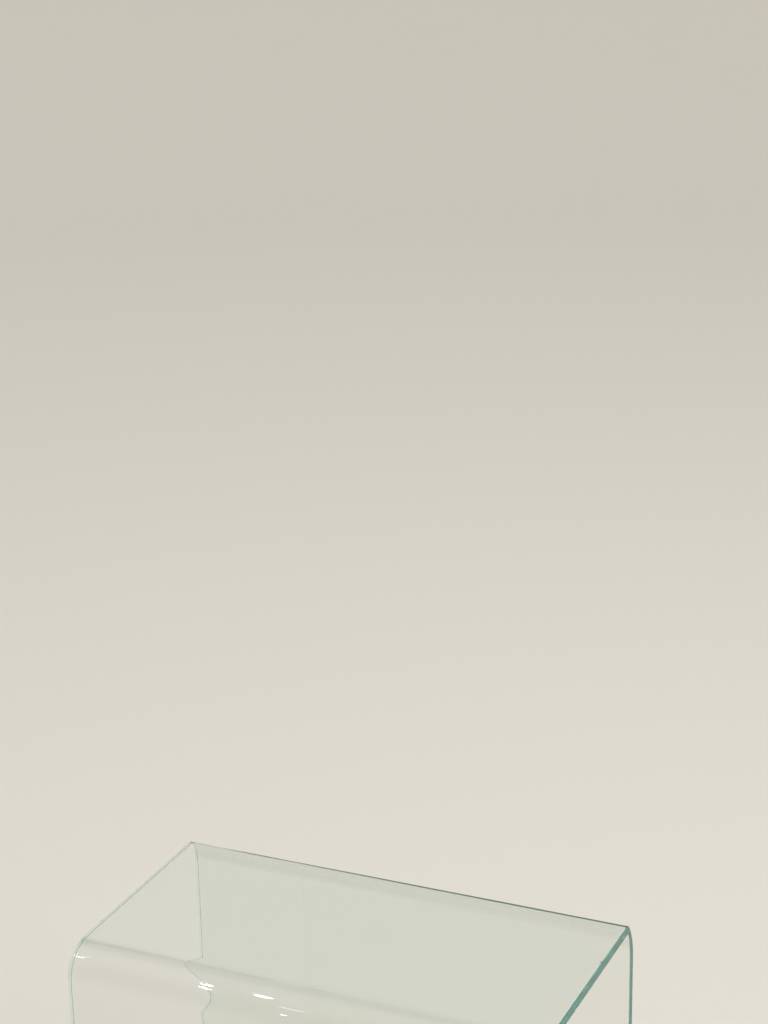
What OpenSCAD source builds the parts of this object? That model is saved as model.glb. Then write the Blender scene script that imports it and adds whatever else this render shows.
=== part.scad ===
// Bent-glass display plinth.
// One sheet of clear float glass is bent down at the front and at the back into two legs.
// It is open at its left and right ends, and its legs stand on four clear edge pads.
// Origin at the centre of the footprint, on the floor: +X along the bends, +Y to the back leg, +Z up.

/* [Plinth] */
// Width of the sheet, along its bends
plinth_w = 450; // [300:10:700]
// Depth over the outer faces of the two legs
plinth_d = 250; // [200:10:400]
// Height of the display face above the floor
plinth_h = 600; // [300:10:900]

/* [Glass] */
// Thickness of the float glass
glass_t = 10; // [8:1:12]

/* [Front bend] */
// Outer radius where the bend leaves the display face
front_tight_r = 34; // [28:2:40]
// Outer radius where the bend eases into the front leg
front_ease_r = 30; // [20:5:40]
// Inner radius where the bend leaves the underside of the display face
front_inner_tight_r = 14; // [10:2:26]
// Inner radius where the bend eases into the front leg
front_inner_ease_r = 34; // [20:2:40]

/* [Back bend] */
// Outer radius where the bend leaves the display face
back_tight_r = 12; // [8:1:14]
// Outer radius where the bend eases into the back leg
back_ease_r = 60; // [50:5:65]
// Inner radius where the bend leaves the underside of the display face
back_inner_tight_r = 3; // [2:1:5]
// Inner radius where the bend eases into the back leg
back_inner_ease_r = 20; // [20:5:30]

/* [Edge pads] */
// Length of a pad along the glass edge, over its round ends
pad_len = 24; // [16:2:40]
// Width of a pad across the glass edge
pad_w = 8; // [6:1:8]
// Thickness of a pad
pad_t = 2; // [1:0.5:4]
// Distance from an end of the sheet to the nearest end of a pad
pad_inset = 28; // [10:2:80]

/* [Hidden] */
$fn = 96;

// A bend turns through a 3-4-5 angle on its tight arc, and through the rest on its easing arc.
turn_sin = 0.8;
turn_cos = 0.6;

// Height of the glass above the underside of its legs
sheet_h = plinth_h - pad_t;
// How far the cut for the space between the legs runs past the glass
overcut = 5;

// The two bends as [tight radius, easing radius], on the outer and the inner face of the glass
front_outer = [front_tight_r, front_ease_r];
front_inner = [front_inner_tight_r, front_inner_ease_r];
back_outer = [back_tight_r, back_ease_r];
back_inner = [back_inner_tight_r, back_inner_ease_r];

// Where the pads' middles lie
pad_x = plinth_w / 2 - pad_inset - pad_len / 2;
pad_y = plinth_d / 2 - glass_t / 2;

// How far a bend reaches in from the leg's face
function bend_run(radii) = radii[0] * turn_sin + radii[1] * (1 - turn_sin);

// How far a bend reaches down from the top face
function bend_drop(radii) = radii[0] * (1 - turn_cos) + radii[1] * turn_cos;

// Where a bend's two arcs meet, from the corner of the faces that it joins
function arc_joint(radii) = [radii[1] * (1 - turn_sin), -radii[0] * (1 - turn_cos)];

// Slice of a disc between two directions from its centre, drawn out to the sheet's width
module disc_slice(centre, r, from, to, width) {
    linear_extrude(width, center = true)
        intersection() {
            translate(centre) circle(r);
            polygon([centre, centre + 2 * r * from, centre + 2 * r * to]);
        }
}

// The two round stretches of a bend whose faces would meet in a corner at the origin
module bend_arcs(radii, width) {
    joint_dir = [-turn_sin, turn_cos];
    disc_slice([bend_run(radii), -radii[0]], radii[0], [0, 1], joint_dir, width);
    disc_slice([radii[1], -bend_drop(radii)], radii[1], joint_dir, [-1, 0], width);
}

// Solid arch drawn along z, from its left leg's face to its right leg's face and down to y = bottom
module arch(depth, top, bottom, left, right, width) {
    left_joint = arc_joint(left);
    right_joint = arc_joint(right);
    half = depth / 2;
    linear_extrude(width, center = true) polygon([
        [-half, bottom],
        [-half, top - bend_drop(left)],
        [-half + left_joint[0], top + left_joint[1]],
        [-half + bend_run(left), top],
        [half - bend_run(right), top],
        [half - right_joint[0], top + right_joint[1]],
        [half, top - bend_drop(right)],
        [half, bottom],
    ]);
    translate([-half, top, 0]) bend_arcs(left, width);
    translate([half, top, 0]) mirror([1, 0, 0]) bend_arcs(right, width);
}

// The bent sheet of float glass: front leg, display face and back leg in one piece
module glass_sheet() {
    inner_d = plinth_d - 2 * glass_t;
    color([0.72, 0.85, 0.80, 0.4])
        translate([0, 0, pad_t])
        rotate([90, 0, 90])
        difference() {
            arch(plinth_d, sheet_h, 0, front_outer, back_outer, plinth_w);
            arch(inner_d, sheet_h - glass_t, -overcut, front_inner, back_inner, plinth_w + 2 * overcut);
        }
}

// A clear self-adhesive pad under the bottom edge of a leg; x_side and y_side are -1 or 1
module edge_pad(x_side, y_side) {
    round_r = pad_w / 2;
    straight = pad_len - pad_w;
    color([0.86, 0.88, 0.86, 0.6])
        translate([x_side * pad_x, y_side * pad_y, 0])
        linear_extrude(pad_t)
        union() {
            square([straight, pad_w], center = true);
            for (end = [-1, 1]) translate([end * straight / 2, 0]) circle(round_r);
        }
}

module front_left_pad() { edge_pad(-1, -1); }

module front_right_pad() { edge_pad(1, -1); }

module back_left_pad() { edge_pad(-1, 1); }

module back_right_pad() { edge_pad(1, 1); }

glass_sheet();
front_left_pad();
front_right_pad();
back_left_pad();
back_right_pad();
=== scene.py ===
"""Bent-glass display plinth, on a pale studio floor.

One sheet of clear float glass is bent down at the front and at the back into two legs. Its cut edges
are ground, and it stands on four clear pads. All lengths are in metres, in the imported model's frame:
+X along the bends, +Y from the front leg to the back leg, +Z up from the floor.
"""

import math

import bpy
from mathutils import Euler, Matrix, Vector, noise


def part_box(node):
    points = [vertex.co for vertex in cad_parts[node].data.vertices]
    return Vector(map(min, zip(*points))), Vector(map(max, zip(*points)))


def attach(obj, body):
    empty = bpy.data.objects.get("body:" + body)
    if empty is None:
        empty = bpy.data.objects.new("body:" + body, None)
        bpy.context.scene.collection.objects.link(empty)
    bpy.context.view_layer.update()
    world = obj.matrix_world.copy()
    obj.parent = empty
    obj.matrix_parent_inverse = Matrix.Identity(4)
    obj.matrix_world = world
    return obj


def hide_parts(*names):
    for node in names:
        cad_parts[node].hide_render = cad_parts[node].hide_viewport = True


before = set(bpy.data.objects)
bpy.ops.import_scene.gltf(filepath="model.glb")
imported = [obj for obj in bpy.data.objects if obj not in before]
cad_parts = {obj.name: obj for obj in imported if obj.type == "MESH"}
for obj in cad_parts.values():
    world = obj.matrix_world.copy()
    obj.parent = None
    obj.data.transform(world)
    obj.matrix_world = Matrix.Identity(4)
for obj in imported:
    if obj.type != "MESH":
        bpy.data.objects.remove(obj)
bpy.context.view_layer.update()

MM = 0.001


def add_object(name, data):
    """A new object in the scene, made of this mesh, lamp or camera."""
    thing = bpy.data.objects.new(name, data)
    bpy.context.scene.collection.objects.link(thing)
    return thing


def new_mesh(name, verts, faces, smooth):
    """A mesh whose faces are each smooth or flat, as the list smooth says."""
    mesh = bpy.data.meshes.new(name)
    mesh.from_pydata(verts, [], faces)
    mesh.polygons.foreach_set("use_smooth", smooth)
    return mesh


# The sheet's section, close to part.scad's. A bend is (tight radius, easing radius, softening), and the
# softening is how far either way its shape is averaged, as heated glass bends without a sudden start.
GLASS_T = 10 * MM
FRONT_OUTER = (34 * MM, 30 * MM, 9 * MM)
FRONT_INNER = (10 * MM, 34 * MM, 18 * MM)
BACK_OUTER = (12 * MM, 60 * MM, 3 * MM)
BACK_INNER = (3 * MM, 20 * MM, 3 * MM)
TIGHT_TURN = math.asin(0.8)
QUARTER = math.pi / 2

# The softening takes this many samples either way, under a bell curve that ends this many sigmas out.
SOFT_STEPS = 10
SOFT_SIGMAS = 3

# What the CAD solid leaves out: the ground arris along each cut edge, and two small chips in it.
# A chip is (face, y, depth).
ARRIS = 0.45 * MM
CHIPS = (("outer", 36 * MM, 1.3 * MM), ("inner", -31 * MM, 0.9 * MM))
CHIP_HALF_LENGTH = 2.2 * MM

# Steps along each stretch of the section, and across the sheet. A leg's steps crowd towards its bend.
LEG_STEPS = 34
LEG_CROWDING = 1.5
BEND_STEPS = 60
FLAT_STEPS = 16
CHIP_STEPS = 6
WIDTH_STEPS = 40

# How far the surface that was heated to bend the sheet dips below true, and its waves per metre
FLAT_DIP = 0.03 * MM
BEND_DIP = 0.12 * MM
BEND_REACH = 45 * MM
FLAT_WAVES = Vector((9, 9, 9))
FLAT_WAVE_SHIFT = Vector((0, 0, 3.1))
BEND_WAVES = Vector((26, 14, 14))
BEND_WAVE_SHIFT = Vector((7.7, 0, 0))

# Over how far a dip's slope is measured
SLOPE_STEP = 0.5 * MM

# How uneven the hand-ground arris is, its waves per metre, and a shift that sets the two ends apart
ARRIS_UNEVENNESS = 0.15
ARRIS_WAVES = 60
ARRIS_END_SHIFT = 5

# Finishes of the sheet's faces, which the glass material reads
DRAWN = 0.0
CUT = 0.5
GROUND = 1.0


# ---------------------------------------------------------------- the sheet's section


class Section:
    """One face of the sheet, followed from the front leg's bottom over the top to the back leg's bottom.

    A place is the length walked so far. The tilt is the way that the face looks out: -90 degrees on the
    front leg, 0 on the flat top and 90 on the back leg.
    """

    def __init__(self, half_depth, top_z, bottom_z, front, back):
        self.stretches = []
        self.length, self.y, self.z, self.tilt = 0.0, -half_depth, bottom_z, -QUARTER
        front_tight, front_ease, self.front_soft = front
        back_tight, back_ease, self.back_soft = back
        front_run, front_drop = bend_size(front_tight, front_ease)
        back_run, back_drop = bend_size(back_tight, back_ease)
        self.walk(top_z - front_drop - bottom_z)
        self.front_start = self.length
        self.walk(front_ease * (QUARTER - TIGHT_TURN), front_ease)
        self.walk(front_tight * TIGHT_TURN, front_tight)
        self.flat_start, self.flat_y = self.length, self.y
        self.walk(2 * half_depth - front_run - back_run)
        self.flat_end = self.length
        self.walk(back_tight * TIGHT_TURN, back_tight)
        self.walk(back_ease * (QUARTER - TIGHT_TURN), back_ease)
        self.back_end = self.length
        self.walk(top_z - back_drop - bottom_z)

    def walk(self, length, radius=None):
        """Add a stretch: a straight line, or an arc when it has a radius."""
        self.stretches.append((self.length, self.y, self.z, self.tilt, radius))
        self.y, self.z, self.tilt = self.true_point(self.length + length)
        self.length += length

    def true_point(self, place):
        """y, z and tilt at a place on the lines and arcs themselves."""
        begun = [s for s in self.stretches if s[0] <= place] or self.stretches[:1]
        start, y, z, tilt, radius = begun[-1]
        along = place - start
        if radius is None:
            return y + along * math.cos(tilt), z - along * math.sin(tilt), tilt
        turned = tilt + along / radius
        y += radius * (math.sin(turned) - math.sin(tilt))
        z += radius * (math.cos(turned) - math.cos(tilt))
        return y, z, turned

    def soft_point(self, place):
        """y, z and the normal's y, z at a place, averaged over the nearer bend's softening."""
        middle = (self.flat_start + self.flat_end) / 2
        reach = self.front_soft if place < middle else self.back_soft
        sums = [0.0] * 5  # y, z, the normal's y and z, and the weights
        for step in range(-SOFT_STEPS, SOFT_STEPS + 1):
            share = step / SOFT_STEPS
            weight = math.exp(-0.5 * (SOFT_SIGMAS * share) ** 2)
            y, z, tilt = self.true_point(place + share * reach)
            for i, value in enumerate((y, z, math.sin(tilt), math.cos(tilt), 1.0)):
                sums[i] += weight * value
        y, z, ny, nz = (v / sums[4] for v in sums[:4])
        size = math.hypot(ny, nz)
        return y, z, ny / size, nz / size

    def points(self):
        """Points along the whole face: dense in the bends and at the chips, sparse on the flats."""
        front_from = self.front_start - self.front_soft
        front_to = self.flat_start + self.front_soft
        back_from = self.flat_end - self.back_soft
        back_to = self.back_end + self.back_soft
        places = [front_from * (1 - (1 - i / LEG_STEPS) ** LEG_CROWDING) for i in range(LEG_STEPS)]
        places += [front_from + (front_to - front_from) * i / BEND_STEPS for i in range(BEND_STEPS + 1)]
        flat = [front_to + (back_from - front_to) * i / FLAT_STEPS for i in range(1, FLAT_STEPS)]
        for _, chip_y, _ in CHIPS:
            middle = self.flat_start + chip_y - self.flat_y
            step = CHIP_HALF_LENGTH / (CHIP_STEPS - 1)
            flat += [middle + step * i for i in range(-CHIP_STEPS, CHIP_STEPS + 1)]
        places += sorted(flat)
        places += [back_from + (back_to - back_from) * i / BEND_STEPS for i in range(BEND_STEPS + 1)]
        leg = self.length - back_to
        places += [back_to + leg * (i / LEG_STEPS) ** LEG_CROWDING for i in range(1, LEG_STEPS + 1)]
        return [self.soft_point(place) for place in places]


def bend_size(tight, ease):
    """How far a bend reaches in from the leg's face, and down from the top face."""
    run = tight * math.sin(TIGHT_TURN) + ease * (1 - math.sin(TIGHT_TURN))
    drop = tight * (1 - math.cos(TIGHT_TURN)) + ease * math.cos(TIGHT_TURN)
    return run, drop


# ---------------------------------------------------------------- the glass sheet


def heat_dip(x, y, z, half_d, top_z):
    """How far the surface lies below true: long shallow waves, deeper and closer together at a bend."""
    distance = math.hypot(half_d - abs(y), top_z - z)
    at_bend = math.exp(-((distance / BEND_REACH) ** 2))
    place = Vector((x, y, z))
    long_wave = noise.noise(place * FLAT_WAVES + FLAT_WAVE_SHIFT)
    short_wave = noise.noise(place * BEND_WAVES + BEND_WAVE_SHIFT)
    return FLAT_DIP * (0.5 + 0.5 * long_wave) + BEND_DIP * at_bend * (0.5 + 0.5 * short_wave)


def arris_width(line, side, y, z, top_z):
    """Width of the ground arris at an end of the sheet: uneven by hand work, and wider at a chip.

    The side is below 0 at the left end and above it at the right end, where the chips are.
    """
    place = Vector((math.copysign(ARRIS_END_SHIFT, side), y * ARRIS_WAVES, z * ARRIS_WAVES))
    width = ARRIS * (1 + ARRIS_UNEVENNESS * noise.noise(place))
    in_display_face = z > top_z - 1.5 * GLASS_T
    if side > 0 and in_display_face:
        for chip_line, middle, depth in CHIPS:
            reach = abs(y - middle) / CHIP_HALF_LENGTH
            if line == chip_line and reach < 1:
                width += depth * math.sqrt(1 - reach * reach)
    return width


class SheetMesh:
    """The bent sheet as one closed mesh. Each face has a finish: drawn glass, cut face or ground arris."""

    def __init__(self, low, high):
        self.half_w = (high.x - low.x) / 2
        self.half_d = (high.y - low.y) / 2
        self.low_z, self.top_z = low.z, high.z
        self.verts, self.normals, self.faces, self.finishes = [], [], [], []
        start_z = low.z + ARRIS
        outer = Section(self.half_d, high.z, start_z, FRONT_OUTER, BACK_OUTER)
        inner = Section(self.half_d - GLASS_T, high.z - GLASS_T, start_z, FRONT_INNER, BACK_INNER)
        self.lines = {"outer": outer.points(), "inner": inner.points()}
        self.shares = [-1 + 2 * i / WIDTH_STEPS for i in range(WIDTH_STEPS + 1)]
        self.columns = {line: [self.column(line, share) for share in self.shares] for line in self.lines}
        self.add_drawn_faces()
        bottoms = {end: self.add_bottom(end) for end in (0, -1)}
        for side in (-1, 1):
            self.add_end(side, bottoms)

    def vertex(self, point, normal=None):
        """Add a vertex, and give its number."""
        self.verts.append(point)
        self.normals.append(normal)
        return len(self.verts) - 1

    def face(self, corners, finish, flip):
        """Add a face, turned the other way round if flip is true."""
        self.faces.append(corners[::-1] if flip else corners)
        self.finishes.append(finish)

    def strip(self, first, second, finish, flip):
        """Add the faces between two rows of vertices."""
        for i in range(len(first) - 1):
            self.face((first[i], second[i], second[i + 1], first[i + 1]), finish, flip)

    def column(self, line, share):
        """Vertices along the section at a share of the half width, with normals that follow the dip."""
        out = 1 if line == "outer" else -1
        box = (self.half_d, self.top_z)
        rows = []
        for y, z, ny, nz in self.lines[line]:
            x = share * (self.half_w - arris_width(line, share, y, z, self.top_z))
            dip = heat_dip(x, y, z, *box)
            ahead_y = y + nz * SLOPE_STEP
            ahead_z = z - ny * SLOPE_STEP
            slope_x = (heat_dip(x + SLOPE_STEP, y, z, *box) - dip) / SLOPE_STEP
            slope_s = (heat_dip(x, ahead_y, ahead_z, *box) - dip) / SLOPE_STEP
            normal = Vector((slope_x, out * ny + nz * slope_s, out * nz - ny * slope_s)).normalized()
            rows.append(self.vertex((x, y - out * ny * dip, z - out * nz * dip), normal))
        return rows

    def add_drawn_faces(self):
        """The outer and the inner face of the sheet."""
        for line, columns in self.columns.items():
            for left, right in zip(columns, columns[1:]):
                self.strip(left, right, DRAWN, line == "inner")

    def add_bottom(self, end):
        """A leg's bottom edge, along the whole width: an arris, the cut face and an arris."""
        outward = -1 if end == 0 else 1
        xs = [share * (self.half_w - ARRIS) for share in self.shares]
        y_out = outward * (self.half_d - ARRIS)
        y_in = outward * (self.half_d - GLASS_T + ARRIS)
        out_row = [self.vertex((x, y_out, self.low_z)) for x in xs]
        in_row = [self.vertex((x, y_in, self.low_z)) for x in xs]
        self.strip([column[end] for column in self.columns["outer"]], out_row, GROUND, outward > 0)
        self.strip(out_row, in_row, CUT, outward > 0)
        self.strip(in_row, [column[end] for column in self.columns["inner"]], GROUND, outward > 0)
        return out_row, in_row

    def add_end(self, side, bottoms):
        """An end of the sheet: the cut face between two arrises, and the corners of the legs' bottoms."""
        col = 0 if side < 0 else -1
        rims = {}
        for line, points in self.lines.items():
            out = 1 if line == "outer" else -1
            rims[line] = []
            for y, z, ny, nz in points:
                inset = out * arris_width(line, side, y, z, self.top_z)
                rims[line].append(self.vertex((side * self.half_w, y - ny * inset, z - nz * inset)))
        for line, rim in rims.items():
            self.strip(self.columns[line][col], rim, GROUND, (side > 0) != (line == "outer"))
        out_rim, in_rim = rims["outer"], rims["inner"]
        self.strip(out_rim, in_rim, CUT, side < 0)
        for end in (0, -1):
            out_bottom, in_bottom = bottoms[end][0][col], bottoms[end][1][col]
            flip = (side > 0) != (end == 0)
            self.face((self.columns["outer"][col][end], out_bottom, out_rim[end]), GROUND, flip)
            self.face((out_rim[end], out_bottom, in_bottom, in_rim[end]), GROUND, flip)
            self.face((in_rim[end], in_bottom, self.columns["inner"][col][end]), GROUND, flip)


def build_glass_sheet():
    """The sheet, with true normals on its drawn faces and flat ones on its cut and ground faces."""
    shape = SheetMesh(*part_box("glass_sheet"))
    smooth = [f == DRAWN for f in shape.finishes]
    mesh = new_mesh("bent_glass_sheet", shape.verts, shape.faces, smooth)
    finish = mesh.attributes.new("finish", "FLOAT", "FACE")
    finish.data.foreach_set("value", shape.finishes)
    corner_normals = []
    for polygon in mesh.polygons:
        flat = polygon.normal.copy()
        corner_normals += [shape.normals[v] if smooth[polygon.index] else flat for v in polygon.vertices]
    mesh.normals_split_custom_set(corner_normals)
    sheet = add_object("bent_glass_sheet", mesh)
    mesh.materials.append(glass_material())
    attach(sheet, "root")
    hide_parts("glass_sheet")
    return sheet


# ---------------------------------------------------------------- materials


class Tree:
    """A material's node tree, with short calls to add and link nodes."""

    def __init__(self, name):
        self.material = bpy.data.materials.new(name)
        self.material.use_nodes = True
        self.nodes = self.material.node_tree.nodes
        self.links = self.material.node_tree.links
        self.shader = self.nodes["Principled BSDF"]
        self.output = self.nodes["Material Output"]

    def add(self, kind, **settings):
        """A new node of this kind, with these settings."""
        node = self.nodes.new(kind)
        for key, value in settings.items():
            setattr(node, key, value)
        return node

    def link(self, source, target):
        self.links.new(source, target)

    def place(self, scale=(1, 1, 1)):
        """The object's own coordinates, in metres, times scale."""
        coords = self.add("ShaderNodeTexCoord")
        mapping = self.add("ShaderNodeMapping")
        mapping.inputs["Scale"].default_value = scale
        self.link(coords.outputs["Object"], mapping.inputs["Vector"])
        return mapping.outputs["Vector"]

    def noise(self, vector, scale, detail=2.0, roughness=0.5):
        """Soft random patches, from 0 to 1."""
        node = self.add("ShaderNodeTexNoise")
        node.inputs["Scale"].default_value = scale
        node.inputs["Detail"].default_value = detail
        node.inputs["Roughness"].default_value = roughness
        self.link(vector, node.inputs["Vector"])
        return node.outputs["Fac"]

    def ramp(self, value, low, high, to_low=0.0, to_high=1.0):
        """value from low..high taken to to_low..to_high, and held there outside."""
        node = self.add("ShaderNodeMapRange")
        node.interpolation_type = "SMOOTHSTEP"
        node.inputs["From Min"].default_value = low
        node.inputs["From Max"].default_value = high
        node.inputs["To Min"].default_value = to_low
        node.inputs["To Max"].default_value = to_high
        self.link(value, node.inputs["Value"])
        return node.outputs["Result"]

    def math(self, operation, a, b):
        """The operation on a and b, each a number or a socket."""
        node = self.add("ShaderNodeMath", operation=operation)
        for socket, value in zip(node.inputs, (a, b)):
            if isinstance(value, (int, float)):
                socket.default_value = value
            else:
                self.link(value, socket)
        return node.outputs["Value"]

    def mix(self, factor, a, b):
        """Colour a where factor is 0 and b where it is 1, each a colour or a socket."""
        node = self.add("ShaderNodeMix", data_type="RGBA")
        self.link(factor, node.inputs["Factor"])
        for socket, colour in ((node.inputs["A"], a), (node.inputs["B"], b)):
            if isinstance(colour, tuple):
                socket.default_value = (*colour, 1)
            else:
                self.link(colour, socket)
        return node.outputs["Result"]

    def bump(self, height, strength, distance):
        """Let a height from 0 to 1 tilt the shader's surface."""
        node = self.add("ShaderNodeBump")
        node.inputs["Strength"].default_value = strength
        node.inputs["Distance"].default_value = distance
        self.link(height, node.inputs["Height"])
        self.link(node.outputs["Normal"], self.shader.inputs["Normal"])


def glass_material():
    """Clear float glass, green by its own depth, with faint handling marks, cut faces and arrises."""
    t = Tree("clear_float_glass")
    t.shader.inputs["IOR"].default_value = 1.52
    t.shader.inputs["Transmission Weight"].default_value = 1.0

    finish = t.add("ShaderNodeAttribute", attribute_name="finish").outputs["Fac"]
    cut = t.ramp(finish, DRAWN + 0.1, CUT - 0.1)
    ground = t.ramp(finish, CUT + 0.1, GROUND - 0.1)

    # Wiping leaves broad faint streaks, and hands leave patches.
    wiped = t.noise(t.place((6, 40, 40)), 1.0, 3.0, 0.55)
    patches = t.noise(t.place(), 22.0, 4.0, 0.6)
    marks = t.math("MULTIPLY", t.ramp(wiped, 0.5, 0.75), t.ramp(patches, 0.52, 0.72))
    face_rough = t.ramp(marks, 0.0, 1.0, 0.0, 0.04)

    # Polishing leaves soft patches on the ends of the sheet, fine lines across the legs' bottoms, and a
    # matt arris.
    polish = t.noise(t.place((3000, 90, 90)), 1.0, 2.0)
    cut_rough = t.ramp(polish, 0.3, 0.7, 0.1, 0.22)
    edge_rough = t.math("MAXIMUM", t.math("MULTIPLY", cut, cut_rough), t.math("MULTIPLY", ground, 0.3))
    t.link(t.math("MAXIMUM", face_rough, edge_rough), t.shader.inputs["Roughness"])

    # Marks, and sparse specks of dust, take a little light. A cut face has a light teal tint of its own,
    # and the rest of the green comes from the depth of the glass.
    specks = t.ramp(t.noise(t.place(), 600.0, 2.0, 0.6), 0.71, 0.77)
    tint = t.mix(marks, (0.985, 0.967, 0.952), (0.95, 0.94, 0.925))
    tint = t.mix(specks, tint, (0.72, 0.71, 0.67))
    edge_tint = t.mix(polish, (0.64, 0.88, 0.86), (0.76, 0.93, 0.92))
    t.link(t.mix(cut, tint, edge_tint), t.shader.inputs["Base Color"])

    height = t.math("MULTIPLY", cut, polish)
    t.bump(height, 0.1, 0.02 * MM)

    volume = t.add("ShaderNodeVolumeAbsorption")
    volume.inputs["Color"].default_value = (0.42, 0.825, 0.795, 1)
    volume.inputs["Density"].default_value = 10.0
    t.link(volume.outputs["Volume"], t.output.inputs["Volume"])
    return t.material


def pad_material():
    """Soft polymer, cloudy and a little see-through, with some dust on it."""
    t = Tree("clear_pad_polymer")
    t.shader.inputs["IOR"].default_value = 1.45
    t.shader.inputs["Transmission Weight"].default_value = 0.3
    cloud = t.noise(t.place(), 260.0, 3.0)
    dust = t.ramp(t.noise(t.place(), 1400.0, 4.0, 0.7), 0.55, 0.75)
    colour = t.mix(cloud, (0.84, 0.87, 0.85), (0.93, 0.95, 0.93))
    t.link(t.mix(dust, colour, (0.62, 0.60, 0.55)), t.shader.inputs["Base Color"])
    t.link(t.ramp(dust, 0.0, 1.0, 0.22, 0.5), t.shader.inputs["Roughness"])
    t.bump(cloud, 0.25, 0.05 * MM)
    return t.material


# ---------------------------------------------------------------- the edge pads

# A pad's layers from the floor up, as (share of its height, share of its full size). Its top stays a hair
# below the glass, so that the two surfaces never lie in the same place.
PAD_ROUND_STEPS = 14
PAD_GAP = 0.03 * MM
PAD_LAYERS = (
    (0.00, 0.62),
    (0.00, 0.86),
    (0.06, 0.955),
    (0.22, 0.995),
    (0.50, 1.00),
    (0.74, 0.985),
    (0.86, 0.95),
    (0.875, 0.93),
    (0.89, 0.945),
    (1.00, 0.94),
)


def pad_outline(length, width):
    """Points round a shape with straight sides and round ends, with its middle at the origin."""
    radius = width / 2
    straight = length / 2 - radius
    points = []
    for end in (1, -1):
        for i in range(PAD_ROUND_STEPS + 1):
            angle = QUARTER * (2 * i / PAD_ROUND_STEPS - 1)
            x = end * (straight + radius * math.cos(angle))
            points.append((x, end * radius * math.sin(angle)))
    return points


def build_pad(node, material):
    """A pad that bulges at its sides under the load, with a thin film of adhesive on top."""
    low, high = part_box(node)
    size = high - low
    middle = (low + high) / 2
    count = 2 * (PAD_ROUND_STEPS + 1)
    verts, faces = [], []
    for height, share in PAD_LAYERS:
        inset = (1 - share) * size.y / 2
        for x, y in pad_outline(size.x - 2 * inset, size.y - 2 * inset):
            verts.append((middle.x + x, middle.y + y, low.z + height * (size.z - PAD_GAP)))
    for layer in range(len(PAD_LAYERS) - 1):
        for i in range(count):
            j = (i + 1) % count
            a, b = layer * count, (layer + 1) * count
            faces.append((a + i, a + j, b + j, b + i))
    faces.append(tuple(range(count))[::-1])
    faces.append(tuple((len(PAD_LAYERS) - 1) * count + i for i in range(count)))
    mesh = new_mesh(node + "_soft", verts, faces, [len(f) == 4 for f in faces])
    mesh.materials.append(material)
    pad = add_object(node + "_soft", mesh)
    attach(pad, "root")
    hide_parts(node)
    return pad


# ---------------------------------------------------------------- floor, light and camera

FLOOR_R = 6.0
COVE_R = 2.5
COVE_STEPS = 16
WALL_H = 1.0
ROUND_STEPS = 96
FLOOR_COLOUR = (0.80, 0.785, 0.73)


def build_studio():
    """A pale floor that curves up into a round wall, so every view has a plain background.

    Its profile is a list of (radius, height), from the middle of the floor outwards.
    """
    profile = [(0.0, 0.0), (1.5, 0.0), (3.0, 0.0), (FLOOR_R, 0.0)]
    for i in range(1, COVE_STEPS + 1):
        angle = QUARTER * i / COVE_STEPS
        profile.append((FLOOR_R + COVE_R * math.sin(angle), COVE_R * (1 - math.cos(angle))))
    profile.append((FLOOR_R + COVE_R, COVE_R + WALL_H))
    verts, faces = [(0.0, 0.0, 0.0)], []
    for radius, z in profile[1:]:
        for i in range(ROUND_STEPS):
            angle = 2 * math.pi * i / ROUND_STEPS
            verts.append((radius * math.cos(angle), radius * math.sin(angle), z))
    for i in range(ROUND_STEPS):
        j = (i + 1) % ROUND_STEPS
        faces.append((0, 1 + i, 1 + j))
        for ring in range(len(profile) - 2):
            a, b = 1 + ring * ROUND_STEPS, 1 + (ring + 1) * ROUND_STEPS
            faces.append((a + i, b + i, b + j, a + j))
    mesh = new_mesh("studio_floor", verts, faces, [True] * len(faces))
    t = Tree("studio_paint")
    t.shader.inputs["Base Color"].default_value = (*FLOOR_COLOUR, 1)
    t.shader.inputs["Roughness"].default_value = 0.9
    mesh.materials.append(t.material)
    floor = add_object("studio_floor", mesh)


LAMP_AIM = Vector((0, 0, 0.55))


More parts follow.
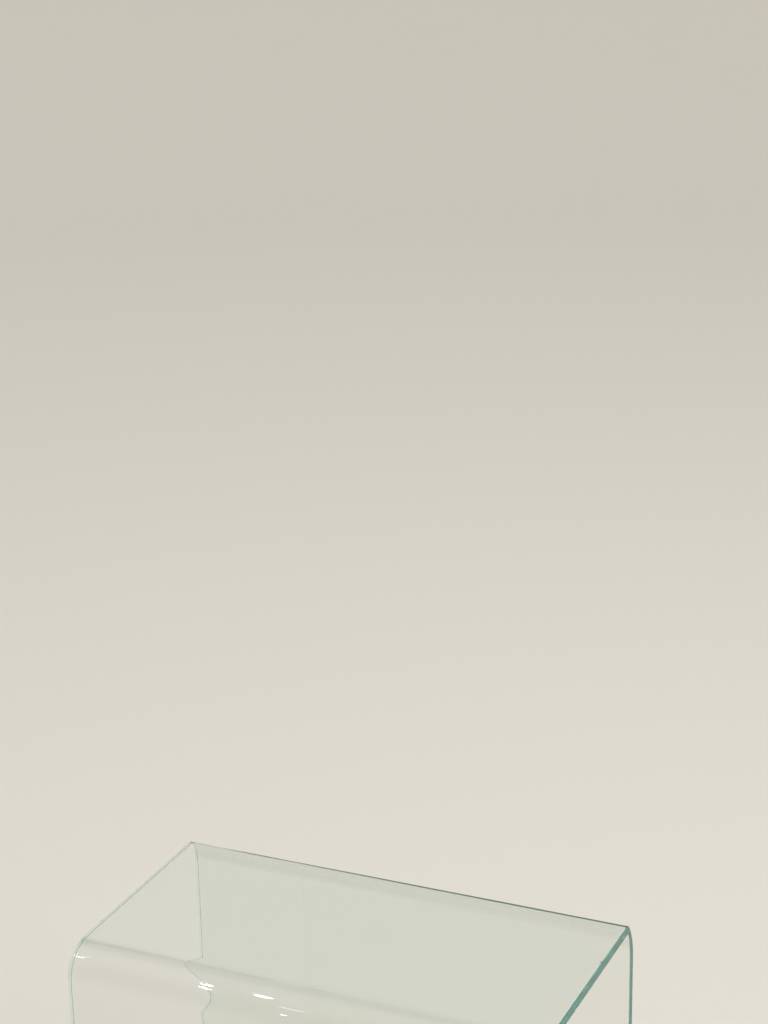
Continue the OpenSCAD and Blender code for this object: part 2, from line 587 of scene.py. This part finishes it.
def add_lamp(name, place, size, power, colour=(1, 1, 1)):
    """A soft oval lamp that faces the plinth, with its first axis as near to +X as it can be."""
    light = bpy.data.lights.new(name, "AREA")
    light.shape = "ELLIPSE"
    light.size, light.size_y = size
    light.energy = power
    light.color = colour
    lamp = add_object(name, light)
    lamp.location = place
    away = (Vector(place) - LAMP_AIM).normalized()
    across = (Vector((1, 0, 0)) - away * away.x).normalized()
    lamp.rotation_euler = Matrix((across, away.cross(across), away)).transposed().to_euler()


# Small bright lamps, each (place, size): they only show as highlights in the bends.
SPOTS = (
    ((-1.12, -1.22, 2.46), (0.030, 0.10)),
    ((-1.12, -1.55, 2.22), (0.030, 0.10)),
    ((-1.01, -1.17, 2.51), (0.038, 0.17)),
    ((-1.36, -1.20, 2.40), (0.020, 0.08)),
    ((-0.96, -2.20, 1.32), (0.030, 0.06)),
)
SPOT_RADIANCE = 90


def build_light():
    """A pale sky, two large soft lamps and the small ones."""
    world = bpy.data.worlds.new("studio_sky")
    world.use_nodes = True
    background = world.node_tree.nodes["Background"]
    background.inputs["Color"].default_value = (1.0, 0.97, 0.93, 1)
    background.inputs["Strength"].default_value = 0.76
    bpy.context.scene.world = world
    add_lamp("soft_key", (2.5, -1.9, 3.2), (1.8, 1.8), 47, (1.0, 0.95, 0.89))
    add_lamp("soft_fill", (0.4, 1.6, 3.6), (1.4, 1.4), 15, (0.97, 0.98, 1.0))
    for i, (place, size) in enumerate(SPOTS):
        area = math.pi / 4 * size[0] * size[1]
        add_lamp("spot_%d" % (i + 1), place, size, SPOT_RADIANCE * math.pi * area)


def build_camera():
    """The camera stands to the front right, at eye level, and looks a little over the plinth."""
    data = bpy.data.cameras.new("camera")
    data.lens = 81.4
    data.sensor_width = 36.0
    camera = add_object("camera", data)
    camera.location = (0.802, -1.675, 1.6365)
    camera.rotation_euler = Euler(tuple(math.radians(a) for a in (71.13, 1.14, 24.07)))
    bpy.context.scene.camera = camera


# Light that is caught in the glass bounces many times before it leaves.
LIGHT_BOUNCES = 64
bpy.context.scene.cycles.max_bounces = LIGHT_BOUNCES
bpy.context.scene.cycles.transmission_bounces = LIGHT_BOUNCES
bpy.context.scene.cycles.glossy_bounces = LIGHT_BOUNCES
bpy.context.scene.view_settings.view_transform = "Standard"

build_glass_sheet()
pad_polymer = pad_material()
for pad_node in ("front_left_pad", "front_right_pad", "back_left_pad", "back_right_pad"):
    build_pad(pad_node, pad_polymer)
build_studio()
build_light()
build_camera()
